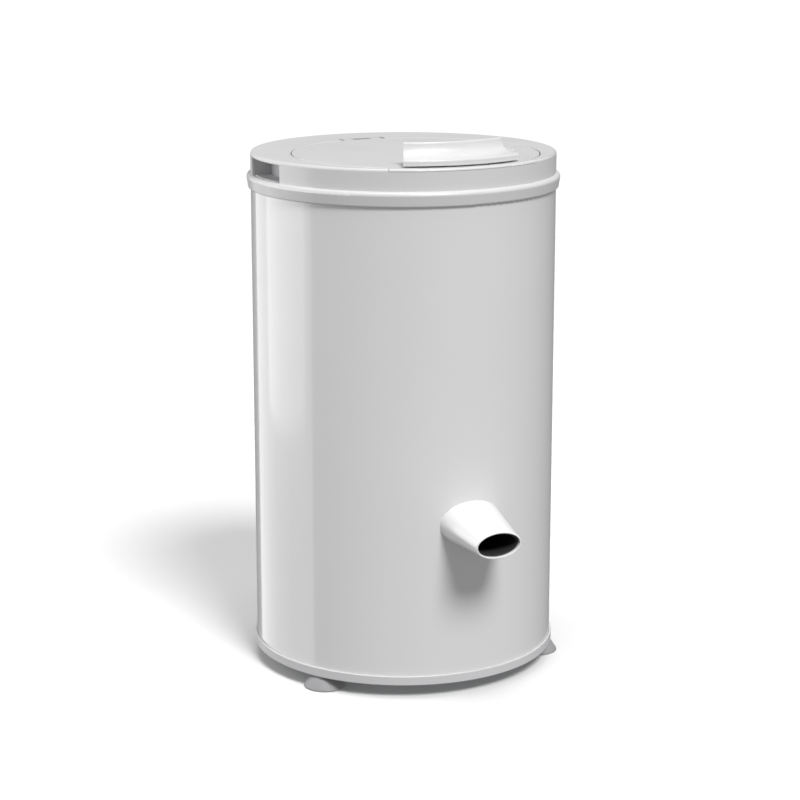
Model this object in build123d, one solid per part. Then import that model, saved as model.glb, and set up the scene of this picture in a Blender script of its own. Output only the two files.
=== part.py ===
from build123d import *
import math
import os

# A free-standing laundry spin dryer. Millimetres, +Z up, floor at z = 0, front (spout, latch) toward -Y.
# Everything is drawn round the machine's vertical axis, and save() moves it to the middle of its footprint.

# ---------------------------------------------------------------- driving sizes
CASING_R = 168.0          # outside radius of the sheet-steel casing
SHEET = 1.0               # thickness of the casing sheet
CASING_H = 531.7          # height of the casing sheet
DECK_H = 26.3             # deck top above the casing's upper edge
PLATE = 3.0               # wall of the moulded top cover
RIM_ROUND = 2.8           # rounding of the deck's outer edge
SEAM_ROUND = 0.6          # rounding along the lid's seam
FOOT_H = 15.0             # floor to the underside of the base ring
FOOT_SOLE_R = 23.0        # radius of a foot on the floor
FOOT_NECK_R = 8.0         # radius of a foot's neck through the base ring
FOOT_COLLAR_R = 14.0      # radius of a foot under the base ring
FOOT_SCREW_R = 3.0
FOOT_INSET = 14.0         # foot centres inside the casing's radius
RING_H = 10.5             # visible height of the base ring
RING_LIP = 1.9            # base ring outside the casing
RING_FLOOR = 3.0          # thickness of the base ring under the casing
PAN_T = 2.0               # steel base pan
PAN_FLANGE = 18.0         # upturned edge of the pan
PAN_OPENING_R = 45.0      # cooling opening under the motor
VENT_R = 5.0              # smaller cooling holes round it
BEAD_H = 16.0             # height of the proud band under the cover's skirt
BEAD_OUT = 4.5            # how far the band stands proud, and the radius of its shoulder
BEAD_FOOT_ROUND = 2.0     # rounding of the band's lower edge
PILLAR_H = 34.0           # pillars that carry the rubber mounts
PILLAR_R = 12.0
PILLAR_INSET = 36.0       # pillars inside the circle of the feet
MOUNT_H = 24.0            # rubber mounts
MOUNT_R = 14.0
STUD_R = 4.0              # bolts through mounts and posts
STUD_HEAD = 13.0          # their hexagon heads, across flats
BELL_BOLT_R = 2.5         # bolts that hold the motor
CRADLE_RIM = 20.0         # steel plate that carries motor and tub, outside the pillars' centres
CRADLE_T = 4.0
POST_R = 8.0              # posts from the cradle to the tub
POST_H = 90.0
POST_INSET = 13.0         # post centres inside the cradle's edge
STATOR_R = 56.0
STATOR_H = 30.0
ROTOR_R = 32.0
BELL_H = 40.0             # upper motor bell above the cradle
BELL_WALL = 4.0
BELL_FLANGE = 4.0         # mounting flange of the motor
BEARING_R = 16.0
BEARING_H = 10.0
SHAFT_R = 7.0
BRAKE_R = 40.0            # brake drum
BRAKE_H = 16.0
SHOE_GAP = 1.3            # released brake shoe to brake drum
TUB_GAP = 17.0            # casing to water tub
TUB_WALL = 1.5
TUB_SINK = 9.7            # tub rim below the casing's upper edge
DRUM_GAP = 16.0           # water tub to spin drum
DRUM_WALL = 1.0
DRUM_SINK = 18.0          # drum rim below the tub rim
DRUM_SHOULDER = 24.0      # width of the drum's turned-in mouth
DRUM_LIFT = 33.0          # drum floor above tub floor
HOLE_R = 2.75             # water holes in the drum
HOLE_ROWS = 7
HOLES_ROUND = 20
FUNNEL_GAP = 4.0          # drum mouth to the loading funnel's neck
FUNNEL_FLARE = 8.0        # how much wider the funnel is at its top
FUNNEL_SHIFT = 20.0       # funnel mouth forward of the axis
FUNNEL_WALL = 2.0
LID_MARGIN = 3.5          # lid's front edge behind the casing's front
LID_SHIFT = 30.0          # lid centre forward of the axis
LID_SEAM = 1.3            # gap round the lid
LID_DEPTH = 9.0           # lid rim, top to bottom
RECESS_DEPTH = 12.0       # deck top down to the ledge the lid rests on
NOSE_HALF = 31.0          # half angle of the lid's nose, degrees
NOSE_T = 2.7              # thickness of the nose
HANDLE_START = -116.0     # left end of the latch handle, degrees from +X
RISER_SWEEP = 49.3        # angle covered by the handle's upright
TREAD_SWEEP = 61.0        # angle covered by its tread before the straight end
END_CUT_TURN = -26.0      # direction square to the straight right end
END_CUT = 121.0           # straight end, from the axis along that direction
HANDLE_SETBACK = 8.0      # handle's front face inside the casing's radius
HANDLE_DEPTH = 35.0
HANDLE_GAP = 1.8          # under the handle
HANDLE_FRONT = 6.4        # height of the handle's front face
HANDLE_TOP = 22.0         # upright of the handle above its underside
HANDLE_TRAVEL = 8.5       # degrees the handle slides
TONGUE_INSET = 17.0       # latch tongue inside the casing's radius
GRIP_HALF = 13.0          # half angle of a grip window, degrees
GRIP_H = 19.5             # height of a grip window
GRIP_DEPTH = 20.0
HINGE_R = 3.5             # lid hinge barrel
HINGE_PIN_R = 2.0
HINGE_HALF = 28.0         # half width of the hinge notch in the deck
HINGE_ARM_X = 17.0        # middle of each lid arm
HINGE_ARM_HALF = 6.0
SPOUT_LENGTH = 62.0       # spout beyond the casing
SPOUT_WALL = 2.0
SPOUT_ROOT = (75.0, 53.5)    # oval inside the casing, wide and tall
SPOUT_MOUTH = (52.0, 28.0)   # oval at the mouth
SPOUT_DROP = 10.0         # mouth centre below the root centre
SPOUT_Z = 195.0           # root centre above the floor
CABLE_R = 2.2             # brake cable sheath
FIT = 0.05                # running fit on shafts and pins, radial
CLEAR = 0.3               # free clearance between neighbours

# ---------------------------------------------------------------- heights and radii that follow
RING_R = CASING_R + RING_LIP + CLEAR
RING_Z = FOOT_H
CASING_Z = RING_Z + RING_FLOOR
CASING_TOP = CASING_Z + CASING_H
DECK_Z = CASING_TOP + DECK_H
CASING_IN = CASING_R - SHEET
FOOT_PLACE_R = CASING_R - FOOT_INSET
PILLAR_PLACE_R = FOOT_PLACE_R - PILLAR_INSET
CRADLE_R = PILLAR_PLACE_R + CRADLE_RIM
POST_PLACE_R = CRADLE_R - POST_INSET
TUB_R = CASING_IN - TUB_GAP
DRUM_R = TUB_R - DRUM_GAP
DRUM_MOUTH_R = DRUM_R - DRUM_SHOULDER
FUNNEL_R = DRUM_MOUTH_R - FUNNEL_GAP
FUNNEL_TOP_R = FUNNEL_R + FUNNEL_FLARE
LID_R = CASING_R - LID_MARGIN - LID_SHIFT
NOSE_IN_R = CASING_R - 43.0
HANDLE_OUT_R = CASING_R - HANDLE_SETBACK
HANDLE_IN_R = HANDLE_OUT_R - HANDLE_DEPTH
TONGUE_R = CASING_R - TONGUE_INSET
PAN_Z = CASING_Z
PAN_TOP = PAN_Z + PAN_T
MOUNT_Z = PAN_TOP + PILLAR_H
CRADLE_Z = MOUNT_Z + MOUNT_H
CRADLE_TOP = CRADLE_Z + CRADLE_T
STATOR_Z = CRADLE_TOP - STATOR_H
BELL_TOP = CRADLE_TOP + BELL_H
BRAKE_Z = BELL_TOP + 10.0
TUB_Z = CRADLE_TOP + POST_H
TUB_TOP = CASING_TOP - TUB_SINK
DRUM_Z = TUB_Z + DRUM_LIFT
DRUM_TOP = TUB_TOP - DRUM_SINK
DRUM_H = DRUM_TOP - DRUM_Z
LEDGE_Z = DECK_Z - RECESS_DEPTH
LEDGE_UNDER = LEDGE_Z - PLATE
SKIRT_IN = CASING_R - PLATE
BEAD_TOP = CASING_TOP + 2.8
BEAD_Z = BEAD_TOP - BEAD_H
RECESS_R = LID_R + LID_SEAM
HANDLE_Z = DECK_Z + HANDLE_GAP
HINGE_Y = RECESS_R - LID_SHIFT + HINGE_R + 2.7
HINGE_Z = DECK_Z - HINGE_R
SPOUT_TIP = CASING_R + SPOUT_LENGTH
NECK_Z = SPOUT_Z - 7.0
FOOT_REACH = FOOT_PLACE_R + FOOT_SOLE_R
AXIS_Y = (SPOUT_TIP - FOOT_REACH) / 2
FOOT_ANGLES = [-30, 90, 210]
POST_ANGLES = [30, 150, 270]
FRONT = -90


# ---------------------------------------------------------------- helpers
def save(name, *shapes):
    """Write one node, moved from the machine axis to the frame of the whole object."""
    solids = [Pos(0, AXIS_Y, 0) * solid for shape in shapes for solid in shape.solids()]
    node = Compound(solids) if len(solids) > 1 else solids[0]
    export_step(node, f"parts/{name}.step")


def rod(radius, z0, z1, x=0.0, y=0.0):
    """An upright cylinder between two heights."""
    return Pos(x, y, (z0 + z1) / 2) * Cylinder(radius, z1 - z0)


def ring(outer, inner, z0, z1, x=0.0, y=0.0):
    """An upright tube between two heights."""
    return rod(outer, z0, z1, x, y) - rod(inner, z0 - 1, z1 + 1, x, y)


def block(x0, x1, y0, y1, z0, z1):
    """A box between two corners."""
    return Pos((x0 + x1) / 2, (y0 + y1) / 2, (z0 + z1) / 2) * Box(x1 - x0, y1 - y0, z1 - z0)


def lathe(points, start=0.0, sweep=360.0):
    """Turn an outline of (radius, height) points round the axis."""
    outline = make_face(Plane.XZ * Polyline(*points, close=True))
    return Rot(0, 0, start) * revolve(outline, Axis.Z, sweep)


def sector(outer, inner, middle, half, z0, z1):
    """A piece of a tube, middle and half angle in degrees from +X."""
    corners = [(inner, z0), (outer, z0), (outer, z1), (inner, z1)]
    return lathe(corners, middle - half, 2 * half)


def around(radius, degrees):
    """The point on a circle round the axis."""
    angle = math.radians(degrees)
    return radius * math.cos(angle), radius * math.sin(angle)


def hexagon(across, z0, z1, x=0.0, y=0.0):
    """An upright hexagonal head or nut."""
    return Pos(x, y, z0) * extrude(RegularPolygon(across / 2, 6, major_radius=False), z1 - z0)


def screw(radius, head_r, head_h, length, x, y, z):
    """A screw with its head on top of z and its shank below."""
    return rod(head_r, z, z + head_h, x, y) + rod(radius, z - length, z, x, y)


def oval(wide, tall, y, z):
    """An upright oval facing the front."""
    return Plane((0, y, z), x_dir=(1, 0, 0), z_dir=(0, -1, 0)) * Ellipse(wide / 2, tall / 2)


os.makedirs("parts", exist_ok=True)


# ---------------------------------------------------------------- feet, base ring, pan
def foot(x, y):
    sole_lip = 4.0
    dish = 3.0
    rim_h = 3.0
    collar_z = FOOT_H - 3.0
    outline = [(0, dish), (FOOT_SOLE_R - sole_lip - 2, dish), (FOOT_SOLE_R - sole_lip, 0), (FOOT_SOLE_R, 0)]
    outline += [(FOOT_SOLE_R - 1, rim_h), (FOOT_COLLAR_R, collar_z), (FOOT_COLLAR_R, FOOT_H)]
    outline += [(FOOT_NECK_R, FOOT_H), (FOOT_NECK_R, PAN_Z), (0, PAN_Z)]
    body = Pos(x, y, 0) * lathe(outline)
    return body - rod(FOOT_SCREW_R + CLEAR, dish + 4, PAN_Z + 1, x, y)


foot_places = [around(FOOT_PLACE_R, a) for a in FOOT_ANGLES]
feet = [foot(x, y) for x, y in foot_places]
save("feet", *feet)
foot_screws = [screw(FOOT_SCREW_R, 2 * FOOT_SCREW_R, 4, 10.5, x, y, PAN_TOP) for x, y in foot_places]
save("foot_screws", *foot_screws)

ring_in = FOOT_PLACE_R + FOOT_NECK_R + 1
ring_low_edge = 1.0
ring_top_edge = 0.6
base_outline = [(ring_in, RING_Z), (RING_R - ring_low_edge, RING_Z), (RING_R, RING_Z + ring_low_edge)]
base_outline += [(RING_R, RING_Z + RING_H - ring_top_edge), (RING_R - ring_top_edge, RING_Z + RING_H)]
base_outline += [(CASING_R + CLEAR, RING_Z + RING_H), (CASING_R + CLEAR, CASING_Z)]
base_outline += [(ring_in, CASING_Z)]
save("base_ring", lathe(base_outline))

pan_r = CASING_IN - CLEAR
base_pan = rod(pan_r, PAN_Z, PAN_TOP) + ring(pan_r, pan_r - PAN_T, PAN_Z, PAN_TOP + PAN_FLANGE)
base_pan -= rod(PAN_OPENING_R, PAN_Z - 1, PAN_TOP + 1)
base_pan -= [rod(FOOT_SCREW_R + CLEAR, PAN_Z - 1, PAN_TOP + 1, x, y) for x, y in foot_places]
vent_place_r = PAN_OPENING_R + 37
vent_places = [around(vent_place_r, a) for a in range(0, 360, 20)]
base_pan -= [rod(VENT_R, PAN_Z - 1, PAN_TOP + 1, x, y) for x, y in vent_places]
save("base_pan", base_pan)

# ---------------------------------------------------------------- casing
casing = ring(CASING_R, CASING_IN, CASING_Z, CASING_TOP)
neck_size = (56.0, 30.0)      # oval neck of the spout through the sheet, wide and tall
neck_hole = extrude(oval(neck_size[0] + 1, neck_size[1] + 1, -CASING_IN + 20, NECK_Z), 40)
gland_z = 62.0
gland_r = 9.0
gland_hole = Pos(0, CASING_R, gland_z) * Rot(90, 0, 0) * Cylinder(gland_r + CLEAR, 20)
save("casing", casing - neck_hole - gland_hole)

# ---------------------------------------------------------------- suspension and cradle
pillar_places = [around(PILLAR_PLACE_R, a) for a in FOOT_ANGLES]


def pillar(x, y):
    flange_top = PAN_TOP + 3
    tube = rod(PILLAR_R, PAN_TOP, MOUNT_Z, x, y) + rod(PILLAR_R + 6, PAN_TOP, flange_top, x, y)
    return tube - rod(STUD_R + CLEAR, flange_top, MOUNT_Z + 1, x, y)


def rubber_mount(x, y):
    waist = MOUNT_R - 3
    end = 4.0
    outline = [(STUD_R + CLEAR, 0), (MOUNT_R, 0), (MOUNT_R, end), (waist, MOUNT_H / 2)]
    outline += [(MOUNT_R, MOUNT_H - end), (MOUNT_R, MOUNT_H), (STUD_R + CLEAR, MOUNT_H)]
    return Pos(x, y, MOUNT_Z) * lathe(outline)


def mount_bolt(x, y):
    thread_end = MOUNT_Z - 18
    return hexagon(STUD_HEAD, CRADLE_TOP, CRADLE_TOP + 6, x, y) + rod(STUD_R, thread_end, CRADLE_TOP, x, y)


save("pillars", *[pillar(x, y) for x, y in pillar_places])
save("rubber_mounts", *[rubber_mount(x, y) for x, y in pillar_places])
save("mount_bolts", *[mount_bolt(x, y) for x, y in pillar_places])

post_places = [around(POST_PLACE_R, a) for a in POST_ANGLES]
bell_bolt_places = [around(STATOR_R + 12, a) for a in (45, 135, 225, 315)]
cradle = rod(CRADLE_R, CRADLE_Z, CRADLE_TOP) - rod(STATOR_R + 4, CRADLE_Z - 1, CRADLE_TOP + 1)
cradle -= [rod(STUD_R + CLEAR, CRADLE_Z - 1, CRADLE_TOP + 1, x, y) for x, y in pillar_places]
cradle -= [rod(STUD_R + CLEAR, CRADLE_Z - 1, CRADLE_TOP + 1, x, y) for x, y in post_places]
cradle -= [rod(BELL_BOLT_R + CLEAR, CRADLE_Z - 1, CRADLE_TOP + 1, x, y) for x, y in bell_bolt_places]
save("motor_cradle", cradle)


def post(x, y):
    return rod(POST_R, CRADLE_TOP, TUB_Z, x, y) - rod(STUD_R + CLEAR, CRADLE_TOP - 1, CRADLE_TOP + 16, x, y)


def post_screw(x, y):
    return hexagon(STUD_HEAD, CRADLE_Z - 5, CRADLE_Z, x, y) + rod(STUD_R, CRADLE_Z, CRADLE_TOP + 14, x, y)


save("tub_posts", *[post(x, y) for x, y in post_places])
save("post_screws", *[post_screw(x, y) for x, y in post_places])

# ---------------------------------------------------------------- motor
stator_top = CRADLE_TOP
LOWER_BELL_Z = STATOR_Z - 18
LOWER_SEAT_Z = LOWER_BELL_Z + BELL_WALL
bell_in = STATOR_R - BELL_WALL
seat_r = BEARING_R + FIT
lower_bell = rod(STATOR_R, LOWER_BELL_Z, STATOR_Z) - rod(bell_in, LOWER_SEAT_Z, STATOR_Z + 1)
lower_bell += ring(seat_r + 4, seat_r, LOWER_SEAT_Z - 0.5, LOWER_SEAT_Z + BEARING_H)
lower_bell -= rod(SHAFT_R + 2, LOWER_BELL_Z - 1, LOWER_SEAT_Z + 1)
save("motor_lower_bell", lower_bell)

stator = ring(STATOR_R, ROTOR_R + 0.5, STATOR_Z, stator_top)
stator_slots = [around(ROTOR_R + 4, a) for a in range(0, 360, 15)]
stator -= [rod(1.6, STATOR_Z - 1, stator_top + 1, x, y) for x, y in stator_slots]
save("motor_stator", stator)

coil_out = bell_in - 4
coil_low = ring(coil_out, ROTOR_R + 3, STATOR_Z - 9, STATOR_Z)
coil_high = ring(coil_out, ROTOR_R + 3, stator_top, stator_top + 10)
save("motor_windings", fillet(coil_low.edges(), 3), fillet(coil_high.edges(), 3))

bell_flange_r = STATOR_R + 20
upper_bell = rod(bell_flange_r, CRADLE_TOP, CRADLE_TOP + BELL_FLANGE) + rod(STATOR_R, CRADLE_TOP, BELL_TOP)
upper_bell -= rod(bell_in, CRADLE_TOP - 1, BELL_TOP - BELL_WALL)
upper_bell += ring(seat_r + 4, seat_r, BELL_TOP - BELL_WALL - BEARING_H, BELL_TOP - BELL_WALL + 0.5)
upper_bell -= rod(SHAFT_R + 1, BELL_TOP - BELL_WALL - 1, BELL_TOP + 1)
upper_bell -= [rod(BELL_BOLT_R + CLEAR, CRADLE_TOP - 1, CRADLE_TOP + 5, x, y) for x, y in bell_bolt_places]
save("motor_upper_bell", upper_bell)


def bell_bolt(x, y):
    head = hexagon(8, CRADLE_TOP + 4, CRADLE_TOP + 8, x, y)
    return head + rod(BELL_BOLT_R, CRADLE_Z - 6, CRADLE_TOP + 4, x, y)


save("motor_bolts", *[bell_bolt(x, y) for x, y in bell_bolt_places])


def bearing(z0):
    return ring(BEARING_R, SHAFT_R + FIT, z0, z0 + BEARING_H)


save("motor_bearings", bearing(LOWER_SEAT_Z), bearing(BELL_TOP - BELL_WALL - BEARING_H))

SHAFT_TOP = DRUM_Z + 16
save("drive_shaft", chamfer(rod(SHAFT_R, LOWER_SEAT_Z + 1, SHAFT_TOP).edges(), 1))
rotor = ring(ROTOR_R, SHAFT_R + FIT, STATOR_Z, stator_top)
rotor += ring(ROTOR_R - 3, ROTOR_R - 11, STATOR_Z - 4, stator_top + 4)
save("rotor", rotor)

# ---------------------------------------------------------------- brake
brake_top = BRAKE_Z + BRAKE_H
brake_drum = rod(BRAKE_R, BRAKE_Z, brake_top) - rod(BRAKE_R - 4, BRAKE_Z + 4, brake_top + 1)
brake_drum += rod(14, BRAKE_Z - 6, brake_top - 4)
save("brake_drum", brake_drum - rod(SHAFT_R + FIT, BRAKE_Z - 10, brake_top + 5))

# The brake lies in its own directions: outward along BRAKE_ANGLE, and sideways toward the front.
BRAKE_ANGLE = -60
PIVOT_SIDE = 34.0
CABLE_SIDE = 28.0
SHOE_T = 8.0
LEVER_T = 8.0
LEVER_OUT = BRAKE_R + SHOE_GAP + SHOE_T
LEVER_MID = LEVER_OUT + LEVER_T / 2
lever_z = BRAKE_Z + 2
lever_top = brake_top - 2
cable_z = (lever_z + lever_top) / 2
brake_turn = Rot(0, 0, BRAKE_ANGLE)

lever = block(LEVER_OUT, LEVER_OUT + LEVER_T, -CABLE_SIDE - 6, PIVOT_SIDE, lever_z, lever_top)
lever += rod(LEVER_T, lever_z, lever_top, LEVER_MID, PIVOT_SIDE)
lever -= rod(3 + FIT, lever_z - 1, lever_top + 1, LEVER_MID, PIVOT_SIDE)
save("brake_lever", brake_turn * lever)

shoe = block(BRAKE_R - 4, LEVER_OUT, -13, 13, lever_z, lever_top)
shoe -= rod(BRAKE_R + SHOE_GAP, lever_z - 1, lever_top + 1)
save("brake_shoe", brake_turn * shoe)

wire_end = LEVER_OUT + LEVER_T
wire = Pos(wire_end + 9.5, -CABLE_SIDE, cable_z) * Rot(0, 90, 0) * Cylinder(0.8, 19)
nipple = Pos(wire_end + 2, -CABLE_SIDE, cable_z) * Rot(0, 90, 0) * Cylinder(2.5, 4)
save("brake_wire", brake_turn * (wire + nipple))

coil_r = 7.5
spring_turns = 4
spring_pitch = 2.4
coil_path = Helix(spring_pitch, spring_pitch * spring_turns, coil_r)
coil_start = coil_path @ 0
coil_wire = sweep(Plane(coil_start, z_dir=coil_path % 0) * Circle(0.8), path=coil_path)
coil_z = lever_z - CLEAR - spring_pitch * spring_turns - 1.1
bell_flange_top = CRADLE_TOP + BELL_FLANGE
pivot_pin = rod(3, bell_flange_top, lever_top + 4, LEVER_MID, PIVOT_SIDE)
pivot_pin += rod(5, bell_flange_top, coil_z - CLEAR, LEVER_MID, PIVOT_SIDE)
pivot_pin += rod(3.5, coil_z - CLEAR, lever_z - CLEAR, LEVER_MID, PIVOT_SIDE)
pivot_pin += rod(5, lever_top + CLEAR, lever_top + 4, LEVER_MID, PIVOT_SIDE)
save("brake_pivot", brake_turn * pivot_pin)

save("brake_spring", brake_turn * Pos(LEVER_MID, PIVOT_SIDE, coil_z) * coil_wire)

bracket_out = wire_end + 17
bracket_t = 4.0
side_low = -CABLE_SIDE - 7
side_high = -CABLE_SIDE + 7
stop_bracket = block(bracket_out, bracket_out + bracket_t, side_low, side_high, CRADLE_TOP, lever_top)
stop_bracket += block(bracket_out, bracket_out + 16, side_low, side_high, CRADLE_TOP, CRADLE_TOP + 3)
wire_hole = Pos(bracket_out, -CABLE_SIDE, cable_z) * Rot(0, 90, 0) * Cylinder(1.9, 20)
save("cable_bracket", brake_turn * (stop_bracket - wire_hole))

# The cable runs down between tub and casing, then turns in under the tub.
HOUSING_Z = LEDGE_UNDER - 12.0
cable_drop_r = (TUB_R + 6 + CASING_IN - 1.0) / 2 - 1.0
cable_out = math.sqrt(cable_drop_r ** 2 - CABLE_SIDE ** 2)
cable_start = (cable_out, -CABLE_SIDE, HOUSING_Z - CLEAR)
cable_turn = (cable_out, -CABLE_SIDE, cable_z)
cable_end = (bracket_out + bracket_t, -CABLE_SIDE, cable_z)
bend_r = 0.45 * (cable_out - bracket_out - bracket_t)
cable_path = FilletPolyline(cable_start, cable_turn, cable_end, radius=bend_r)
cable_section = Plane(cable_start, z_dir=(0, 0, -1)) * Circle(CABLE_R)
save("brake_cable", brake_turn * sweep(cable_section, path=cable_path))

clip_angle = BRAKE_ANGLE - math.degrees(math.asin(CABLE_SIDE / cable_drop_r))


def cable_clip(z0):
    x, y = around(cable_drop_r, clip_angle)
    pad = sector(CASING_IN - 0.05, cable_drop_r, clip_angle, 1.6, z0, z0 + 12)
    return pad + rod(CABLE_R + 2, z0, z0 + 12, x, y) - rod(CABLE_R + FIT, z0 - 1, z0 + 13, x, y)


save("cable_clips", cable_clip(TUB_Z + 90), cable_clip(TUB_TOP - 108))

# ---------------------------------------------------------------- tub
seal_r = 24.0
tub = rod(TUB_R, TUB_Z, TUB_TOP) - rod(TUB_R - TUB_WALL, TUB_Z + 2, TUB_TOP + 1)
tub += ring(TUB_R + 6, TUB_R - 1, TUB_TOP - 2, TUB_TOP)
tub -= rod(seal_r - 4, TUB_Z - 1, TUB_Z + 3)
spigot_r = 12.0
spigot_y = -TUB_R + TUB_WALL / 2
spigot = Pos(0, spigot_y - 9, NECK_Z) * Rot(90, 0, 0) * Cylinder(spigot_r, 18)
spigot_bore = Pos(0, spigot_y - 9, NECK_Z) * Rot(90, 0, 0) * Cylinder(spigot_r - 2, 30)
tub = tub + spigot - spigot_bore
save("water_tub", tub)

tub_floor = TUB_Z + 2
seal_outline = [(SHAFT_R + CLEAR, tub_floor + 6), (SHAFT_R + 3, tub_floor), (seal_r, tub_floor)]
seal_outline += [(seal_r, tub_floor + 3), (seal_r - 8, TUB_Z + 6)]
seal_outline += [(SHAFT_R + 5, TUB_Z + 14), (SHAFT_R + CLEAR, TUB_Z + 14)]
save("shaft_seal", lathe(seal_outline))

tub_ring_in = FUNNEL_R + 9
save("tub_ring", ring(TUB_R + 6, tub_ring_in, TUB_TOP, TUB_TOP + 2))
collar_outline = [(FUNNEL_R + CLEAR, TUB_TOP - 3), (tub_ring_in + 3, TUB_TOP - 3), (tub_ring_in + 3, TUB_TOP)]
collar_outline += [(tub_ring_in, TUB_TOP), (tub_ring_in, TUB_TOP + 2), (tub_ring_in + 3, TUB_TOP + 2)]
collar_outline += [(tub_ring_in + 3, TUB_TOP + 5), (FUNNEL_R + CLEAR, TUB_TOP + 5)]
save("collar_seal", lathe(collar_outline))

# ---------------------------------------------------------------- spin drum
drum_lip = 6.0
drum_in = DRUM_R - DRUM_WALL
wall_outline = [(drum_in, DRUM_Z), (DRUM_R, DRUM_Z), (DRUM_R, DRUM_TOP - 3), (DRUM_R - 3, DRUM_TOP)]
wall_outline += [(DRUM_MOUTH_R, DRUM_TOP), (DRUM_MOUTH_R, DRUM_TOP - drum_lip)]
wall_outline += [(DRUM_MOUTH_R + 1, DRUM_TOP - drum_lip), (DRUM_MOUTH_R + 1, DRUM_TOP - 1)]
wall_outline += [(DRUM_R - 3.5, DRUM_TOP - 1), (drum_in, DRUM_TOP - 3.5)]
drum_wall = lathe(wall_outline)
row_margin = 30.0
row_pitch = (DRUM_H - 2 * row_margin) / (HOLE_ROWS - 1)
water_holes = []
for row in range(HOLE_ROWS):
    row_z = DRUM_Z + row_margin + row * row_pitch
    for k in range(HOLES_ROUND):
        turn = 360 / HOLES_ROUND * (k + 0.5 * (row % 2))
        water_holes.append(Rot(0, 0, turn) * Pos(DRUM_R, 0, row_z) * Rot(0, 90, 0) * Cylinder(HOLE_R, 8))
save("drum_wall", drum_wall - water_holes)

drum_floor_r = drum_in - FIT
drum_floor = rod(drum_floor_r, DRUM_Z, DRUM_Z + 2)
drum_floor += ring(drum_floor_r, drum_floor_r - 1.5, DRUM_Z, DRUM_Z + 10)
drum_floor -= rod(SHAFT_R + FIT, DRUM_Z - 1, DRUM_Z + 3)
save("drum_floor", drum_floor)
drum_hub = rod(34, DRUM_Z - 5, DRUM_Z) + rod(14, DRUM_Z - 16, DRUM_Z - 5)
save("drum_hub", drum_hub - rod(SHAFT_R + FIT, DRUM_Z - 20, DRUM_Z + 1))
nut_top = SHAFT_TOP - 2
save("drum_nut", hexagon(22, DRUM_Z + 2, nut_top) - rod(SHAFT_R + FIT, DRUM_Z, SHAFT_TOP))
cone_h = 34.0
cone_outline = [(44, 0), (52, 0), (52, 2), (46, 3), (20, cone_h - 4), (12, cone_h), (0, cone_h)]
cone_outline += [(0, cone_h - 3), (12, cone_h - 3.5), (17, cone_h - 7), (42, 4)]
save("drum_cone", Pos(0, 0, DRUM_Z + 2) * lathe(cone_outline))

# ---------------------------------------------------------------- loading funnel
lid_plane = Pos(0, -LID_SHIFT, 0)
funnel_top = LEDGE_Z
neck_low = DRUM_TOP - 8
neck_top = TUB_TOP + 7


def funnel_body(offset, overrun):
    """The funnel's solid shape, drawn smaller by offset and longer at both ends by overrun."""
    neck = rod(FUNNEL_R - offset, neck_low - overrun, neck_top)
    low = Plane.XY.offset(neck_top) * Circle(FUNNEL_R - offset)
    high = Plane((0, -FUNNEL_SHIFT, funnel_top + overrun)) * Circle(FUNNEL_TOP_R - offset)
    return neck + loft([low, high])


flange = rod(FUNNEL_TOP_R + 1.5, funnel_top, funnel_top + 2, 0, -FUNNEL_SHIFT)
save("loading_funnel", flange + funnel_body(0, 0) - funnel_body(FUNNEL_WALL, FUNNEL_WALL))

# ---------------------------------------------------------------- top cover
lip_out = CASING_R + CLEAR
lip_in = CASING_IN - CLEAR
channel_top = CASING_TOP + CLEAR
lip_low = BEAD_Z + 4
foot_out = CASING_R + BEAD_OUT - 1.4
foot_z = BEAD_Z + BEAD_FOOT_ROUND
shoulder_z = BEAD_TOP - BEAD_OUT
knee = math.sin(math.radians(45))
shoulder_middle = (CASING_R + BEAD_OUT * knee, shoulder_z + BEAD_OUT * knee)
foot_middle = (foot_out - BEAD_FOOT_ROUND * (1 - knee), foot_z - BEAD_FOOT_ROUND * knee)
band_line = Polyline((foot_out - BEAD_FOOT_ROUND, BEAD_Z), (lip_out, BEAD_Z), (lip_out, channel_top),
                     (lip_in, channel_top), (lip_in, lip_low), (lip_in - PLATE, lip_low),
                     (lip_in - PLATE, BEAD_TOP), (CASING_R, BEAD_TOP))
shoulder = ThreePointArc((CASING_R, BEAD_TOP), shoulder_middle, (CASING_R + BEAD_OUT, shoulder_z))
band_face = Line((CASING_R + BEAD_OUT, shoulder_z), (foot_out, foot_z))
band_foot = ThreePointArc((foot_out, foot_z), foot_middle, (foot_out - BEAD_FOOT_ROUND, BEAD_Z))
band_wire = Wire([*band_line.edges(), *shoulder.edges(), *band_face.edges(), *band_foot.edges()])
save("cover_band", revolve(make_face(Plane.XZ * band_wire), Axis.Z))


def rounded_disc(radius, z0, z1, round_r, shift=0.0):
    """A plate whose upper rim is rounded."""
    plate = rod(radius, z0, z1)
    return Pos(0, shift, 0) * fillet(plate.edges().group_by(Axis.Z)[-1], round_r)


plate_z = DECK_Z - PLATE
cover = rounded_disc(CASING_R, plate_z, DECK_Z, RIM_ROUND) + ring(CASING_R, SKIRT_IN, BEAD_TOP, plate_z)
cover -= rod(RECESS_R, BEAD_TOP, DECK_Z + 1, 0, -LID_SHIFT)
seam_edges = [e for e in cover.edges().group_by(Axis.Z)[-1] if abs(e.radius - RECESS_R) < 0.01]
cover = fillet(seam_edges, SEAM_ROUND)
hinge_back = HINGE_Y + HINGE_R + 2
hinge_front = HINGE_Y - 32
hinge_notch = block(-HINGE_HALF, HINGE_HALF, hinge_front, hinge_back, LEDGE_Z, DECK_Z + 1)
nose_gap = 0.2
cover -= hinge_notch
cover -= sector(CASING_R + 1, NOSE_IN_R - 5, FRONT, NOSE_HALF + nose_gap, plate_z, DECK_Z + 1)
for side in (0, 180):
    cover -= sector(CASING_R + 1, SKIRT_IN - 0.5, side, GRIP_HALF, BEAD_TOP - 1, BEAD_TOP + GRIP_H)
save("top_cover", cover)

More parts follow.
